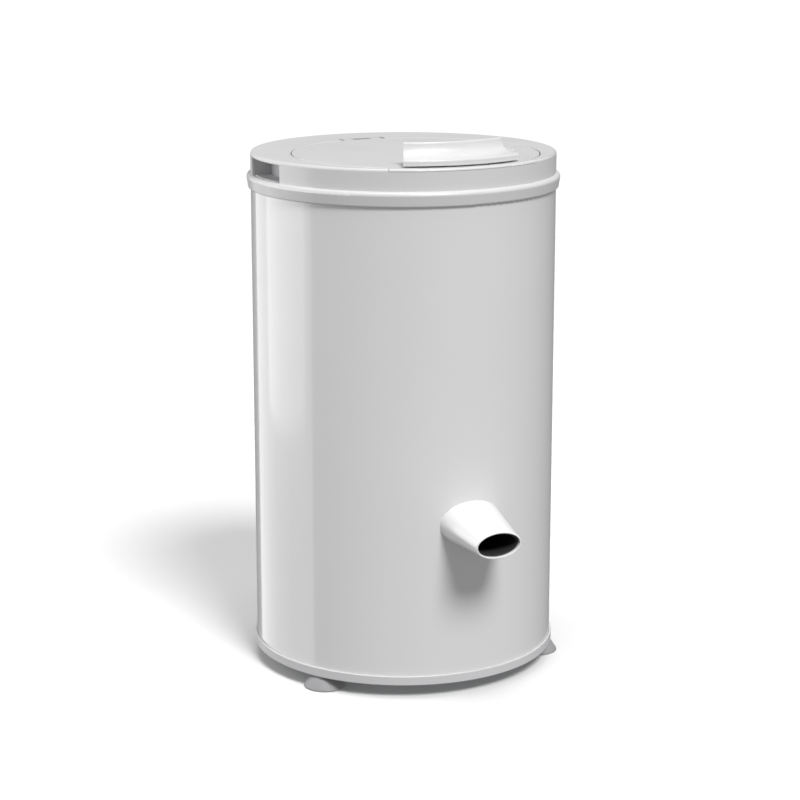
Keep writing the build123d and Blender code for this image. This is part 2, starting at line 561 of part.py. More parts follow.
recess_out = RECESS_R + 2.5
tray_top = plate_z
inside = rod(SKIRT_IN - FIT, LEDGE_UNDER - 1, DECK_Z)
tray = rod(recess_out, LEDGE_UNDER, tray_top, 0, -LID_SHIFT) & inside
tray += block(-HINGE_HALF - PLATE, HINGE_HALF + PLATE, hinge_front, hinge_back + 2, LEDGE_UNDER, tray_top)
tray += sector(SKIRT_IN - FIT, NOSE_IN_R + 5, FRONT, NOSE_HALF + 1, tray_top - 4, tray_top)
tray -= rod(RECESS_R, LEDGE_Z, DECK_Z + 1, 0, -LID_SHIFT)
tray -= hinge_notch
tray -= funnel_body(-CLEAR, 0)
tongue_half = 2.2
tongue_slot_half = tongue_half + HANDLE_TRAVEL / 2 + 1.5
slot_middle = FRONT - HANDLE_TRAVEL / 2
tray -= sector(TONGUE_R + 5.5, TONGUE_R - 5, slot_middle, tongue_slot_half, LEDGE_UNDER - 1, LEDGE_Z + 1)
save("cover_tray", tray)


def grip_pocket(side):
    top = plate_z - CLEAR
    shell = sector(SKIRT_IN - CLEAR, SKIRT_IN - GRIP_DEPTH, side, GRIP_HALF + 1.5, BEAD_TOP, top)
    return shell - sector(CASING_R, SKIRT_IN - GRIP_DEPTH + 2, side, GRIP_HALF, BEAD_TOP + 1, top - 1.5)


save("grip_pockets", grip_pocket(0), grip_pocket(180))

# ---------------------------------------------------------------- lid
lid_low = DECK_Z - LID_DEPTH
lid = rounded_disc(LID_R, lid_low, DECK_Z, SEAM_ROUND, -LID_SHIFT)
lid -= rod(LID_R - PLATE, lid_low - 1, DECK_Z - PLATE, 0, -LID_SHIFT)
nose = rounded_disc(CASING_R, DECK_Z - NOSE_T, DECK_Z, RIM_ROUND - 0.4)
lid += nose & sector(CASING_R + 1, NOSE_IN_R, FRONT, NOSE_HALF, DECK_Z - NOSE_T, DECK_Z)
boss_half = 9.0
slot_half = boss_half + HANDLE_TRAVEL / 2 + 1
lid -= sector(TONGUE_R + 4, TONGUE_R - 4, slot_middle, slot_half, DECK_Z - PLATE - 1, DECK_Z + 1)
rear_wall = LID_R - LID_SHIFT - 2
hinge_axis = Pos(0, HINGE_Y, HINGE_Z) * Rot(0, 90, 0)
for side in (-1, 1):
    arm_middle = side * HINGE_ARM_X
    arm = block(arm_middle - HINGE_ARM_HALF, arm_middle + HINGE_ARM_HALF, rear_wall, HINGE_Y, HINGE_Z, DECK_Z)
    barrel = Pos(arm_middle, 0, 0) * hinge_axis * Cylinder(HINGE_R, 2 * HINGE_ARM_HALF)
    lid = lid + arm + barrel
pin_bore = hinge_axis * Cylinder(HINGE_PIN_R + FIT, 4 * HINGE_HALF)
save("lid_shell", lid - pin_bore)

panel_r = LID_R - PLATE - CLEAR
panel_t = 2.5
panel = rod(panel_r, lid_low, lid_low + panel_t, 0, -LID_SHIFT)
panel -= sector(TONGUE_R + 5, TONGUE_R - 5, slot_middle, tongue_slot_half, lid_low - 1, lid_low + panel_t + 1)
spacer_places = [around(LID_R - 34.5, a) for a in (20, 70, 110, 160, 200, 340)]
panel += [lid_plane * rod(5, lid_low + panel_t, DECK_Z - PLATE, x, y) for x, y in spacer_places]
panel -= [lid_plane * rod(1.6, lid_low - 1, DECK_Z - PLATE - 0.5, x, y) for x, y in spacer_places]
save("lid_inner_panel", panel)
lid_seal = ring(panel_r - 1, panel_r - 4, LEDGE_Z + CLEAR, lid_low, 0, -LID_SHIFT)
save("lid_seal", lid_seal)


def lid_screw(x, y):
    return lid_plane * (rod(3, lid_low - 1.2, lid_low, x, y) + rod(1.5, lid_low, lid_low + 5, x, y))


lid_screws = [lid_screw(x, y) for x, y in spacer_places]
save("lid_screws", *lid_screws)

# ---------------------------------------------------------------- hinge
knuckle_gap = 0.5
knuckle_end = HINGE_ARM_X + HINGE_ARM_HALF + knuckle_gap
knuckle_mid = HINGE_ARM_X - HINGE_ARM_HALF - knuckle_gap
knuckle_end_half = (HINGE_HALF - 1 - knuckle_end) / 2
bracket_front = RECESS_R - LID_SHIFT + 1
bracket = block(1 - HINGE_HALF, HINGE_HALF - 1, bracket_front, hinge_back - 0.5, LEDGE_Z, LEDGE_Z + 1.5)
end_middle = knuckle_end + knuckle_end_half
for middle, half in ((0, knuckle_mid), (-end_middle, knuckle_end_half), (end_middle, knuckle_end_half)):
    web = block(middle - half, middle + half, HINGE_Y - 2.5, HINGE_Y + 2.5, LEDGE_Z, HINGE_Z)
    bracket += web + Pos(middle, 0, 0) * hinge_axis * Cylinder(HINGE_R, 2 * half)
save("hinge_bracket", bracket - pin_bore)
save("hinge_pin", hinge_axis * Cylinder(HINGE_PIN_R, 2 * HINGE_HALF - 2))

# ---------------------------------------------------------------- latch handle
front_top = HANDLE_Z + HANDLE_FRONT
tread_in = HANDLE_OUT_R - 14
crest_in = HANDLE_OUT_R - 26
crest_z = HANDLE_Z + HANDLE_TOP
heel_z = HANDLE_Z + 6
front_round = 2.0
front_low = (HANDLE_OUT_R, HANDLE_Z)
front_high = (HANDLE_OUT_R, front_top - front_round)
front_arc = ThreePointArc(front_high, (HANDLE_OUT_R - 0.3 * front_round, front_top - 0.3 * front_round),
                          (HANDLE_OUT_R - front_round, front_top))
tread_top = front_top + 1.4
tread = Line((HANDLE_OUT_R - front_round, front_top), (tread_in, tread_top))
crest_front = (crest_in + 2.4, crest_z - 1.2)
cove = ThreePointArc((tread_in, tread_top), (crest_in + 6.2, HANDLE_Z + 11.5), crest_front)
crest = ThreePointArc(crest_front, (crest_in + 1.2, crest_z), (crest_in, crest_z - 1.2))
heel_high = (HANDLE_IN_R, heel_z)
heel_low = (HANDLE_IN_R, HANDLE_Z)
back_high = [(crest_in, crest_z - 1.2), (crest_in - 2.7, HANDLE_Z + 9)]
back = Polyline(*back_high, heel_high, heel_low, front_low, front_high)
riser_wire = Wire([*front_arc.edges(), *tread.edges(), *cove.edges(), *crest.edges(), *back.edges()])
handle = Rot(0, 0, HANDLE_START) * revolve(make_face(Plane.XZ * riser_wire), Axis.Z, RISER_SWEEP)
low_back = Polyline((tread_in, tread_top), heel_high, heel_low, front_low, front_high)
low_wire = Wire([*front_arc.edges(), *tread.edges(), *low_back.edges()])
handle += Rot(0, 0, HANDLE_START) * revolve(make_face(Plane.XZ * low_wire), Axis.Z, TREAD_SWEEP)
rib_out = HANDLE_OUT_R - 22.5
rib_points = [(rib_out - 2.5, HANDLE_Z + 4), (rib_out, HANDLE_Z + 4)]
rib_points += [(rib_out, HANDLE_Z + 10.5), (rib_out - 2.5, HANDLE_Z + 10.5)]
handle += lathe(rib_points, HANDLE_START + RISER_SWEEP - 1, TREAD_SWEEP - RISER_SWEEP)
handle -= Rot(0, 0, END_CUT_TURN) * block(END_CUT, CASING_R, -CASING_R, CASING_R, HANDLE_Z - 1, crest_z)
save("latch_handle", handle)

tongue_foot = LEDGE_UNDER - 6
slider_body = sector(TONGUE_R + 2.5, TONGUE_R - 2.5, FRONT, boss_half, DECK_Z - PLATE, HANDLE_Z)
slider_body += sector(TONGUE_R + 2.5, TONGUE_R - 2.5, FRONT, tongue_half, tongue_foot, HANDLE_Z)
save("latch_tongue", slider_body)

# ---------------------------------------------------------------- lock under the ledge
track_half = 20.0
housing = sector(TONGUE_R + 9, TONGUE_R - 10, FRONT, track_half, HOUSING_Z, LEDGE_UNDER)
housing -= sector(TONGUE_R + 6.5, TONGUE_R - 7.5, FRONT, track_half - 1.2, HOUSING_Z + 2, LEDGE_UNDER + 1)
save("latch_housing", housing)
slider_half = 7.0
slider = sector(TONGUE_R + 6, TONGUE_R - 7, FRONT, slider_half, HOUSING_Z + 2 + CLEAR, HOUSING_Z + 9)
slider -= sector(TONGUE_R + 8, TONGUE_R - 3.5, FRONT, tongue_half + 0.5, tongue_foot - 1, LEDGE_UNDER)
save("lock_slider", slider)

button_length = 8.0
switch_side = FRONT + slider_half + math.degrees((button_length / 2 + CLEAR) / TONGUE_R)
switch_body = sector(TONGUE_R + 6, TONGUE_R - 7, switch_side + 4.2, 3.5, HOUSING_Z + 2, HOUSING_Z + 10)
button_x, button_y = around(TONGUE_R, switch_side)
button_r = 1.5
button_place = Pos(button_x, button_y, HOUSING_Z + 6) * Rot(0, 0, switch_side) * Rot(90, 0, 0)
button_hole = button_place * Cylinder(button_r + FIT, 2 * button_length)
save("lid_switch", switch_body - button_hole)
save("switch_button", button_place * Cylinder(button_r, button_length))

# ---------------------------------------------------------------- spout
root_plane_y = -CASING_R + 12


def spout_body(shrink, back, front):
    root = oval(SPOUT_ROOT[0] - shrink, SPOUT_ROOT[1] - shrink, root_plane_y + back, SPOUT_Z)
    mouth = oval(SPOUT_MOUTH[0] - shrink, SPOUT_MOUTH[1] - shrink, -SPOUT_TIP - front, SPOUT_Z - SPOUT_DROP)
    return loft([root, mouth])


spout_outer = spout_body(0, 0, 0)
spout = spout_outer - spout_body(2 * SPOUT_WALL, 0.5, 0.5) - rod(CASING_R + FIT, 100, 300)
web = spout_outer & ring(CASING_R + FIT + 2, CASING_R + FIT, 150, 240)
neck_back = CASING_R - 14
neck = extrude(oval(neck_size[0], neck_size[1], -neck_back, NECK_Z), 14)
bore = extrude(oval(neck_size[0] - 4, neck_size[1] - 4, -neck_back + 1, NECK_Z), 20)
save("spout", spout + web + neck - bore)
boot = extrude(oval(neck_size[0] - 4.6, neck_size[1] - 4.6, -neck_back - 1, NECK_Z), 5)
boot -= Pos(0, -neck_back, NECK_Z) * Rot(90, 0, 0) * Cylinder(spigot_r + FIT, 40)
save("drain_boot", boot)

# ---------------------------------------------------------------- electrics
cap_x, cap_y = around(PILLAR_PLACE_R - 6, 0)
capacitor = rod(18, PAN_TOP + 3, PAN_TOP + 55, cap_x, cap_y)
save("capacitor", chamfer(capacitor.edges(), 1.5))
clamp = rod(22, PAN_TOP, PAN_TOP + 3, cap_x, cap_y) + ring(21, 18 + FIT, PAN_TOP, PAN_TOP + 16, cap_x, cap_y)
save("capacitor_clamp", clamp)
box_back = CASING_IN - 18
terminal_box = block(-24, 24, box_back - 30, box_back, PAN_TOP, PAN_TOP + 20)
save("terminal_box", Rot(0, 0, -25) * fillet(terminal_box.edges().filter_by(Axis.Z), 3))
cord_r = 4.0
gland_outline = [(cord_r, -9), (gland_r, -9), (gland_r, CLEAR), (gland_r + 4, CLEAR)]
gland_outline += [(gland_r + 4, 3), (cord_r + 4, 8), (cord_r, 8)]
gland = Rot(0, 0, 90) * Pos(CASING_R, 0, gland_z) * Rot(0, 90, 0) * lathe(gland_outline)
save("cord_gland", gland)
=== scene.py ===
# %% [markdown]
# A free-standing laundry spin dryer: a painted steel drum casing, a moulded cover with a round lid, a sliding latch
# handle, a white drain spout and three suction feet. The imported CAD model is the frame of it: every new piece takes
# its place from that frame and rides on one of its bodies, so lid, handle and drum still move.

# %% Load the frame
import math
import bpy
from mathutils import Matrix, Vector


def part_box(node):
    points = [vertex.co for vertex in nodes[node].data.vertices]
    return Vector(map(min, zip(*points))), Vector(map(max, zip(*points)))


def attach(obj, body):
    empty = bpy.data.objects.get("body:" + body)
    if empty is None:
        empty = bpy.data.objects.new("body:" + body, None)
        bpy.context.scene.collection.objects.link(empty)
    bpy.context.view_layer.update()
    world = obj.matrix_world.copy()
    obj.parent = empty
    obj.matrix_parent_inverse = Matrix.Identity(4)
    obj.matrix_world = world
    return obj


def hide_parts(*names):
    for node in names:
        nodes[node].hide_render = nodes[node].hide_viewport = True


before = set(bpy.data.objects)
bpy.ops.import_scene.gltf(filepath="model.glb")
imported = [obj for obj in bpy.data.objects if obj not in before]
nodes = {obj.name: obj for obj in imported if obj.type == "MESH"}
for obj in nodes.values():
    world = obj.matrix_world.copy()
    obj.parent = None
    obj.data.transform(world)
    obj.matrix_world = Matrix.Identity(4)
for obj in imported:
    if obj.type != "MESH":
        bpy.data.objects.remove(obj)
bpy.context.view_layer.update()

# %% [markdown]
# The machine is nearly all surfaces of revolution about one upright axis. The casing's box gives that axis and the
# main heights, and everything modelled below is measured from them. Sizes are written in millimetres.

# %% The machine's axis and heights
MM = 0.001
MERGE = 0.02 * MM
casing_low, casing_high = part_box("casing")
AXIS_Y = (casing_low[1] + casing_high[1]) / 2
CASING_R = (casing_high[0] - casing_low[0]) / 2 / MM
DECK_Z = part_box("top_cover")[1][2] / MM
HANDLE_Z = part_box("latch_handle")[0][2] / MM
print("axis y", round(AXIS_Y, 4), "casing radius", round(CASING_R, 2), "deck", round(DECK_Z, 2))

# %% [markdown]
# Every piece below is modelled with the same few moves of the hand: start from a primitive, open it in edit mode,
# pick what is to change, extrude or spin it, then leave edit mode with the faces turned outward. Two helpers open and
# close a mesh, so that no step works on something that was still selected.

# %% Opening and closing a mesh
def open_mesh(piece, kind="VERT"):
    """Select one piece alone and open it in edit mode with nothing picked."""
    bpy.ops.object.select_all(action="DESELECT")
    piece.select_set(True)
    bpy.context.view_layer.objects.active = piece
    bpy.ops.object.mode_set(mode="EDIT")
    bpy.ops.mesh.select_mode(type=kind)
    bpy.ops.mesh.select_all(action="DESELECT")


def close_mesh(piece, sharp=32.0):
    """Merge doubles, turn the faces outward, put the piece's place in its mesh and shade it."""
    bpy.ops.mesh.select_all(action="SELECT")
    bpy.ops.mesh.remove_doubles(threshold=MERGE)
    bpy.ops.mesh.normals_make_consistent(inside=False)
    bpy.ops.object.mode_set(mode="OBJECT")
    bpy.ops.object.transform_apply(location=True, rotation=True, scale=True)
    bpy.ops.object.shade_smooth_by_angle(angle=math.radians(sharp))
    print(piece.name, len(piece.data.polygons), "faces")


# %% [markdown]
# Most of the machine's parts are turned: they have one outline all the way round. Such a piece starts as a single
# point, which is extruded from corner to corner along the outline and then spun about an upright axis. A part turn
# leaves two open ends, which are filled.

# %% Spinning an outline
def spot(centre, degrees, radius, height):
    angle = math.radians(degrees)
    x = centre[0] + radius * MM * math.cos(angle)
    y = centre[1] + radius * MM * math.sin(angle)
    return Vector((x, y, height * MM))


def turned(name, outline, centre=None, start=0.0, sweep=360.0, steps=144):
    """Draw an outline of (radius, height) and spin it about the axis through centre."""
    centre = centre or (0.0, AXIS_Y)
    corners = [spot(centre, start, radius, height) for radius, height in outline]
    bpy.ops.object.select_all(action="DESELECT")
    bpy.ops.mesh.primitive_plane_add(size=0.001, location=corners[0])
    piece = bpy.context.active_object
    piece.name = name
    open_mesh(piece)
    bpy.ops.mesh.select_all(action="SELECT")
    bpy.ops.mesh.merge(type="CENTER")
    for here, there in zip(corners, corners[1:]):
        bpy.ops.mesh.extrude_region_move(TRANSFORM_OT_translate={"value": there - here})
    bpy.ops.mesh.select_all(action="SELECT")
    bpy.ops.mesh.spin(steps=steps, angle=-math.radians(sweep), center=(*centre, 0.0), axis=(0.0, 0.0, 1.0))
    bpy.ops.mesh.select_all(action="SELECT")
    bpy.ops.mesh.remove_doubles(threshold=MERGE)
    if sweep < 360.0:
        bpy.ops.mesh.select_all(action="DESELECT")
        bpy.ops.mesh.select_non_manifold()
        bpy.ops.mesh.fill_holes(sides=0)
    close_mesh(piece)
    return piece


# %% [markdown]
# A rounded corner is a short arc in an outline. This helper gives the points of a quarter turn, or less, between two
# directions, so that outlines can be written corner by corner.

# %% An arc in an outline
def arc(centre_r, centre_z, radius, first, last, count=6):
    """Points of an arc from one direction to another, in degrees from outward toward up."""
    turns = [math.radians(first + (last - first) * k / count) for k in range(count + 1)]
    return [(centre_r + radius * math.cos(t), centre_z + radius * math.sin(t)) for t in turns]


# %% [markdown]
# Pieces are joined or cut with the Boolean modifier and get their small roundings from the Bevel modifier. Both are
# applied at once, so that the mesh itself holds the finished shape.

# %% Applying a modifier
def apply(piece, kind, **settings):
    bpy.ops.object.select_all(action="DESELECT")
    piece.select_set(True)
    bpy.context.view_layer.objects.active = piece
    bpy.ops.object.modifier_add(type=kind)
    modifier = piece.modifiers[-1]
    for key, value in settings.items():
        setattr(modifier, key, value)
    bpy.ops.object.modifier_apply(modifier=modifier.name)


def soften(piece, width, segments=3):
    """Round the sharp edges only, by a width in millimetres."""
    apply(piece, "BEVEL", width=width * MM, segments=segments, limit_method="ANGLE", angle_limit=math.radians(40.0))


def boolean(piece, tool, operation):
    """Join or cut a piece with another one, which is used up."""
    apply(piece, "BOOLEAN", operation=operation, object=tool, solver="EXACT")
    bpy.data.objects.remove(tool)


# %% [markdown]
# Each finish is a small program of nodes. This class holds one of them: its Principled shader, one way to add any
# other node with its settings and its inputs, and the few patterns that most finishes share. A value may be a number,
# a colour or another node's output, which is then linked.

# %% One material and its nodes
class Finish:
    def __init__(self, name, color, roughness, metallic=0.0, **constants):
        self.material = bpy.data.materials.new(name)
        self.material.use_nodes = True
        self.tree = self.material.node_tree
        self.shader = self.tree.nodes["Principled BSDF"]
        self.set("Base Color", (*color, 1.0))
        self.set("Roughness", roughness)
        self.set("Metallic", metallic)
        for socket, value in constants.items():
            self.set(socket.replace("_", " "), value)
        self.place = self.add("ShaderNodeTexCoord", out="Object")

    def feed(self, slot, value):
        if isinstance(value, bpy.types.NodeSocket):
            self.tree.links.new(value, slot)
        else:
            slot.default_value = value

    def set(self, socket, value):
        self.feed(self.shader.inputs[socket], value)

    def add(self, kind, settings=None, inputs=None, out=0):
        """Add a node, set it up, feed its inputs and give one of its outputs."""
        node = self.tree.nodes.new(kind)
        for key, value in (settings or {}).items():
            setattr(node, key, value)
        for key, value in (inputs or {}).items():
            self.feed(node.inputs[key], value)
        return node.outputs[out]

    def stretched(self, scale):
        return self.add("ShaderNodeMapping", None, {"Vector": self.place, "Scale": scale})

    def noise(self, scale, detail=3.0, place=None):
        return self.add("ShaderNodeTexNoise", None, {"Vector": place or self.place, "Scale": scale, "Detail": detail})

    def between(self, factor, low, high):
        """Mix two colours; the Mix node's colour sockets have no names of their own, only numbers."""
        inputs = {0: factor, 6: (*low, 1.0), 7: (*high, 1.0)}
        return self.add("ShaderNodeMix", {"data_type": "RGBA"}, inputs, out=2)

    def spread(self, value, low_in, high_in, low, high):
        inputs = {"Value": value, "From Min": low_in, "From Max": high_in, "To Min": low, "To Max": high}
        return self.add("ShaderNodeMapRange", None, inputs)

    def bump(self, height, strength, distance):
        return self.add("ShaderNodeBump", None, {"Height": height, "Strength": strength, "Distance": distance})


# %% [markdown]
# A finish is put on a piece in place of whatever it had. The frame's own pieces are dressed by name.

# %% Putting a finish on
def paint(piece, finish):
    piece.data.materials.clear()
    piece.data.materials.append(finish.material)


def dress(finish, *names):
    """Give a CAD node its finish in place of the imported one."""
    for name in names:
        paint(nodes[name], finish)
    print(finish.material.name, "on", len(names), "pieces")


# %% [markdown]
# The casing is sheet steel with a fine powder coat. Such a coat isn't flat: it has a soft orange-peel ripple a few
# millimetres wide and a faint unevenness of gloss, which only show where a light slides over it.

# %% Powder coat
coat = Finish("powder_coat", (0.82, 0.82, 0.82), 0.34, Coat_Weight=1.0, Coat_Roughness=0.10)
peel = coat.noise(420.0, 2.0)
drift = coat.noise(7.0, 2.0)
coat.set("Roughness", coat.spread(drift, 0.3, 0.7, 0.33, 0.41))
coat.set("Base Color", coat.between(drift, (0.81, 0.81, 0.81), (0.835, 0.835, 0.835)))
coat.set("Normal", coat.bump(peel, 0.06, 0.0006))
dress(coat, "casing")

# %% [markdown]
# Cover, lid and handle are moulded in one light grey plastic. The tool leaves a very fine spark grain, so the shine
# is broad and soft, and old mouldings vary a little in tone.

# %% Moulded light grey plastic
shell = Finish("cover_plastic", (0.74, 0.74, 0.74), 0.3, Coat_Weight=0.25, Coat_Roughness=0.15)
grain = shell.noise(1500.0, 2.0)
tone = shell.noise(11.0, 3.0)
shell.set("Base Color", shell.between(tone, (0.725, 0.725, 0.725), (0.755, 0.755, 0.755)))
shell.set("Roughness", shell.spread(tone, 0.3, 0.7, 0.30, 0.38))
shell.set("Normal", shell.bump(grain, 0.05, 0.0002))
dress(shell, "top_cover", "cover_band", "cover_tray", "lid_shell", "latch_handle")

# %% [markdown]
# Parts that are seldom seen are moulded in the same grey with no gloss added: the funnel, the lid's inner panel, the
# grip pockets and the lock. The mould is left coarser, so the grain is twice as wide and there is no clear layer.

# %% Matte inner plastic
inner = Finish("inner_plastic", (0.68, 0.68, 0.69), 0.5)
inner_grain = inner.noise(900.0, 2.0)
inner.set("Normal", inner.bump(inner_grain, 0.08, 0.0003))
inner.set("Base Color", inner.between(inner.noise(14.0), (0.65, 0.65, 0.66), (0.71, 0.71, 0.72)))
dress(inner, "loading_funnel", "lid_inner_panel", "grip_pockets", "latch_tongue",
      "latch_housing", "lock_slider", "tub_ring", "drum_cone")

# %% [markdown]
# The spout is a polished white moulding. Its gloss wanders a little over a centimetre or two, as it does where
# plastic cooled against a polished mould, and its white is a touch uneven.

# %% White spout plastic
white = Finish("spout_plastic", (0.90, 0.90, 0.90), 0.16, Coat_Weight=0.3, Coat_Roughness=0.08)
white.set("Roughness", white.spread(white.noise(60.0), 0.3, 0.7, 0.14, 0.2))
white.set("Base Color", white.between(white.noise(20.0), (0.88, 0.88, 0.88), (0.92, 0.92, 0.92)))
dress(white, "spout")

# %% [markdown]
# The ring under the casing is a darker grey plastic with a fine grain. It stands close to the floor, where hands and
# shoes dull it, so it has no clear layer.

# %% Base ring plastic
trim = Finish("ring_plastic", (0.70, 0.70, 0.71), 0.42)
trim.set("Normal", trim.bump(trim.noise(1200.0), 0.06, 0.0003))
trim.set("Base Color", trim.between(trim.noise(16.0), (0.68, 0.68, 0.69), (0.72, 0.72, 0.73)))
dress(trim, "base_ring")

# %% [markdown]
# The feet are soft grey rubber. Moulded rubber is dull and slightly pitted, and dust settles in it in patches, which
# two noises of different width give: a fine one for the pits and a wide one for the tone.

# %% Foot rubber
rubber = Finish("foot_rubber", (0.35, 0.35, 0.36), 0.62)
rubber.set("Normal", rubber.bump(rubber.noise(800.0, 4.0), 0.15, 0.0004))
rubber.set("Base Color", rubber.between(rubber.noise(45.0, 4.0), (0.31, 0.31, 0.32), (0.39, 0.39, 0.395)))
dress(rubber, "feet")

# %% [markdown]
# Seals, mounts and the drain boot are black rubber. Where it is handled it turns shinier, so only its roughness
# varies.

# %% Black rubber
black = Finish("black_rubber", (0.02, 0.02, 0.02), 0.6)
black.set("Roughness", black.spread(black.noise(60.0), 0.3, 0.7, 0.52, 0.68))
dress(black, "rubber_mounts", "shaft_seal", "collar_seal", "lid_seal", "drain_boot")

# %% [markdown]
# The drum is stainless sheet, rolled into a cylinder and brushed round its axis. Brushing is a noise squeezed along
# the turning direction, which needs the height alone: thin level lines, each with its own roughness.

# %% Brushed stainless steel
steel = Finish("drum_steel", (0.60, 0.60, 0.61), 0.28, metallic=1.0)
lines = steel.noise(1.0, 3.0, steel.stretched((2.0, 2.0, 2600.0)))
steel.set("Roughness", steel.spread(lines, 0.3, 0.7, 0.20, 0.36))
steel.set("Normal", steel.bump(lines, 0.10, 0.0002))
dress(steel, "drum_wall", "drum_floor")

# %% [markdown]
# The tub that catches the water is a smooth grey plastic moulding, out of sight behind the casing. It is a little
# bluer than the cover, and lime from the water leaves soft pale clouds on it.

# %% The tub's plastic
basin = Finish("tub_plastic", (0.52, 0.53, 0.55), 0.42)
basin.set("Base Color", basin.between(basin.noise(25.0, 4.0), (0.49, 0.50, 0.52), (0.56, 0.57, 0.58)))
basin.set("Roughness", basin.spread(basin.noise(9.0, 3.0), 0.3, 0.7, 0.36, 0.52))
dress(basin, "water_tub")

# %% [markdown]
# Pressed steel parts inside are zinc plated. The plating grows in small crystals, each with its own tone and shine: a
# Voronoi pattern with cells a few millimetres wide drives both.

# %% Zinc-plated steel
zinc = Finish("zinc_steel", (0.55, 0.56, 0.57), 0.38, metallic=1.0)
flakes = zinc.add("ShaderNodeTexVoronoi", None, {"Vector": zinc.place, "Scale": 180.0})
zinc.set("Roughness", zinc.spread(flakes, 0.0, 0.8, 0.30, 0.48))
zinc.set("Base Color", zinc.between(flakes, (0.50, 0.51, 0.52), (0.60, 0.61, 0.62)))
dress(zinc, "base_pan", "pillars", "motor_cradle", "tub_posts", "brake_lever", "cable_bracket", "brake_wire",
      "brake_spring", "hinge_bracket", "capacitor_clamp", "cable_clips")

# %% [markdown]
# Screws, pins and the shaft are turned from plain bright steel. They are small, so a fine noise in the roughness is
# enough to break up their highlights.

# %% Bright screw steel
bright = Finish("screw_steel", (0.66, 0.66, 0.67), 0.22, metallic=1.0)
bright.set("Roughness", bright.spread(bright.noise(500.0), 0.3, 0.7, 0.16, 0.3))
dress(bright, "foot_screws", "mount_bolts", "post_screws", "motor_bolts", "lid_screws", "hinge_pin", "brake_pivot",
      "drum_nut", "motor_bearings", "drive_shaft")

# %% [markdown]
# The motor's two bells and the drum's hub are cast in aluminium. A cast skin is sandy and dull: a coarse bump under
# an uneven roughness.

# %% Die-cast aluminium
cast = Finish("motor_aluminium", (0.52, 0.53, 0.54), 0.5, metallic=1.0)
cast.set("Normal", cast.bump(cast.noise(700.0, 5.0), 0.25, 0.0005))
cast.set("Roughness", cast.spread(cast.noise(90.0, 4.0), 0.3, 0.7, 0.42, 0.6))
dress(cast, "motor_lower_bell", "motor_upper_bell", "drum_hub")

# %% [markdown]
# Stator and rotor are stacks of thin iron sheets. The stack shows as level lines round the outside, made by a noise
# squeezed in height, and the bare iron is stained brown in places.

# %% Iron laminations
iron = Finish("motor_iron", (0.14, 0.14, 0.145), 0.55, metallic=0.8)
leaves = iron.noise(1.0, 2.0, iron.stretched((1.0, 1.0, 2000.0)))
iron.set("Normal", iron.bump(leaves, 0.3, 0.0004))
iron.set("Base Color", iron.between(iron.noise(70.0, 4.0), (0.11, 0.105, 0.10), (0.18, 0.18, 0.185)))
dress(iron, "motor_stator", "rotor", "brake_drum")

# %% [markdown]
# The windings are varnished copper wire, wound so thick that no single turn can be told apart at this size. A fine
# bump and a fine change of tone stand for the turns.

# %% Copper windings
copper = Finish("motor_copper", (0.50, 0.20, 0.08), 0.35, metallic=1.0)
copper.set("Normal", copper.bump(copper.noise(900.0, 3.0), 0.5, 0.0008))
copper.set("Base Color", copper.between(copper.noise(400.0), (0.42, 0.15, 0.05), (0.58, 0.26, 0.11)))
dress(copper, "motor_windings")

# %% [markdown]
# The cord gland, the terminal box and the switch are black plastic with a fine grain.

# %% Black plastic
dark = Finish("black_plastic", (0.025, 0.025, 0.025), 0.45)
dark.set("Normal", dark.bump(dark.noise(900.0), 0.1, 0.0003))
dark.set("Roughness", dark.spread(dark.noise(40.0), 0.3, 0.7, 0.38, 0.52))
dress(dark, "cord_gland", "terminal_box", "lid_switch", "brake_cable", "brake_shoe", "capacitor")

# %% [markdown]
# The switch's button is red so that a repairer finds it. It is only three millimetres across, so its tone changes
# over a few millimetres.

# %% Red switch button
red = Finish("red_plastic", (0.42, 0.03, 0.02), 0.3)
red.set("Base Color", red.between(red.noise(300.0), (0.38, 0.025, 0.015), (0.46, 0.04, 0.03)))
dress(red, "switch_button")

# %% [markdown]
# The machine stands on three grey rubber suction feet. Each is a hollow cone: a thin lip that grips the floor, a
# dished underside, two small steps and a neck that goes up through the base. It is turned once and copied to the
# other two places, a third of a turn apart.

# %% One suction foot
FOOT_REACH = 154.0
FRONT_RIGHT = -30.0
REAR = 90.0
FRONT_LEFT = 210.0
foot_outline = [(0.0, 6.0), (5.0, 6.0), (7.0, 5.0), (13.0, 4.2), (17.5, 2.2), (20.0, 0.5)]
foot_outline += [(21.2, 0.0), (22.3, 0.05), (22.9, 0.5), (23.0, 1.3), (22.6, 2.2)]
foot_outline += [(16.4, 11.6), (15.4, 12.6), (14.6, 13.0), (14.3, 13.8), (14.0, 14.9), (8.0, 14.9), (0.0, 14.9)]


def place_of_foot(degrees):
    place = spot((0.0, AXIS_Y), degrees, FOOT_REACH, 0.0)
    return (place.x, place.y)


first_foot = turned("foot_front_right", foot_outline, place_of_foot(FRONT_RIGHT), steps=72)
print("foot top", round(first_foot.dimensions.z, 4))

# %% [markdown]
# The three feet come out of one mould, so the other two are copies of the first one's mesh. Each is moved by the
# distance between two places, and the move is applied so that its place is in its mesh.

